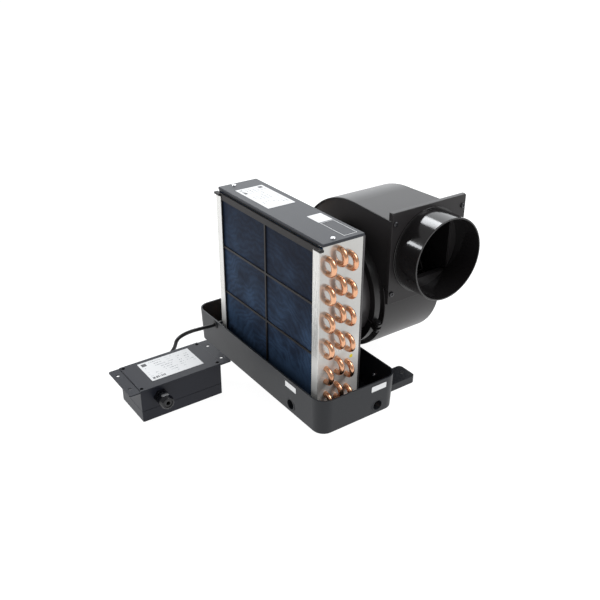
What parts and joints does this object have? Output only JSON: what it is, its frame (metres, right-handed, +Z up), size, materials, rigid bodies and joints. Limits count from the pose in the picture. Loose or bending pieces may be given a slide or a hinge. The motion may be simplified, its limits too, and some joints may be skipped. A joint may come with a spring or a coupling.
{
  "type": "marine air handler",
  "caption": "Marine air handler: finned copper coil with a slide-out filter in a drip tray, a swivelling centrifugal blower with a round duct collar, and a cabled control box.",
  "frame": {"origin": "middle of the drip tray's underside, on the surface that the unit stands on", "axes": "+X along the coil towards the duct outlet, +Y from the filter back to the blower, +Z up"},
  "size_m": [0.422, 0.6098, 0.3358],
  "materials": {
    "tray_plastic": "satin",
    "rubber": "matte",
    "bright_steel": "bright zinc",
    "end_plate_aluminium": "satin",
    "fin_aluminium": "blue hydrophilic coating",
    "copper_tube": "bright copper",
    "brass": "turned",
    "cover_paint": "satin",
    "foam": "foam",
    "filter_frame_plastic": "satin",
    "filter_net": "woven nylon",
    "blower_plastic": "semi-gloss",
    "clamp_plastic": "semi-gloss",
    "motor_paint": "satin",
    "box_plastic": "satin",
    "gland_nylon": "moulded",
    "dark_steel": "blackened",
    "cable_jacket": "PVC",
    "board": "green resin",
    "standoff": "nylon",
    "relay_case": "moulded",
    "capacitor_case": "moulded"
  },
  "bodies": {
    "root": {"board_standoffs": "standoff", "cable_grommet": "rubber", "cable_plug": "cable_jacket", "capillary_tubes": "copper_tube", "clamp_nut": "bright_steel", "clamp_screw": "bright_steel", "coil_screws": "bright_steel", "control_board": "board", "control_box_body": "box_plastic", "control_box_lid": "box_plastic", "control_cable": "cable_jacket", "cover_screws": "bright_steel", "distributor": "brass", "drain_bushes": "tray_plastic", "drip_tray": "tray_plastic", "end_plate_left": "end_plate_aluminium", "end_plate_right": "end_plate_aluminium", "fan_relays": "relay_case", "fan_socket": "blower_plastic", "fin_pack": "fin_aluminium", "flare_nuts": "brass", "flare_unions": "brass", "foot_nuts": "bright_steel", "foot_screws": "bright_steel", "gland_bodies": "gland_nylon", "gland_locknuts": "gland_nylon", "gland_nuts": "gland_nylon", "gland_seals": "rubber", "hairpins_front_row": "copper_tube", "hairpins_middle_row": "copper_tube", "hairpins_rear_row": "copper_tube", "lid_screws": "dark_steel", "liquid_line": "copper_tube", "mounting_feet": "tray_plastic", "rear_shroud": "blower_plastic", "return_bends": "copper_tube", "run_capacitor": "capacitor_case", "shroud_screws": "bright_steel", "suction_header": "copper_tube", "suction_line": "copper_tube", "swivel_clamp": "clamp_plastic", "terminal_strip": "relay_case", "top_cover": "cover_paint", "top_seal": "foam"},
    "filter": {"filter_frame": "filter_frame_plastic", "filter_mesh": "filter_net"},
    "blower": {"scroll_wrap": "blower_plastic", "scroll_front_plate": "blower_plastic", "scroll_rear_plate": "blower_plastic", "inlet_cone": "blower_plastic", "duct_plate": "blower_plastic", "duct_collar": "blower_plastic", "duct_plate_screws": "bright_steel", "motor_can": "motor_paint", "motor_screws": "bright_steel", "motor_bearings": "bright_steel", "motor_end_cap": "motor_paint"},
    "impeller": {"impeller_wheel": "blower_plastic", "hub_set_screw": "bright_steel", "motor_shaft": "bright_steel"}
  },
  "joints": [
    {"name": "filter_slide", "type": "slide", "parent": "root", "child": "filter", "axis": [0, 0, 1], "range_m": [0, 0.3]},
    {"name": "blower_swivel", "type": "hinge", "parent": "root", "child": "blower", "pos_m": [0.023, 0.092, 0.1634], "axis": [0, 1, 0], "range_deg": [-90, 45]},
    {"name": "impeller_spin", "type": "hinge", "parent": "blower", "child": "impeller", "pos_m": [0.023, 0.18, 0.1634], "axis": [0, 1, 0], "continuous": true}
  ]
}
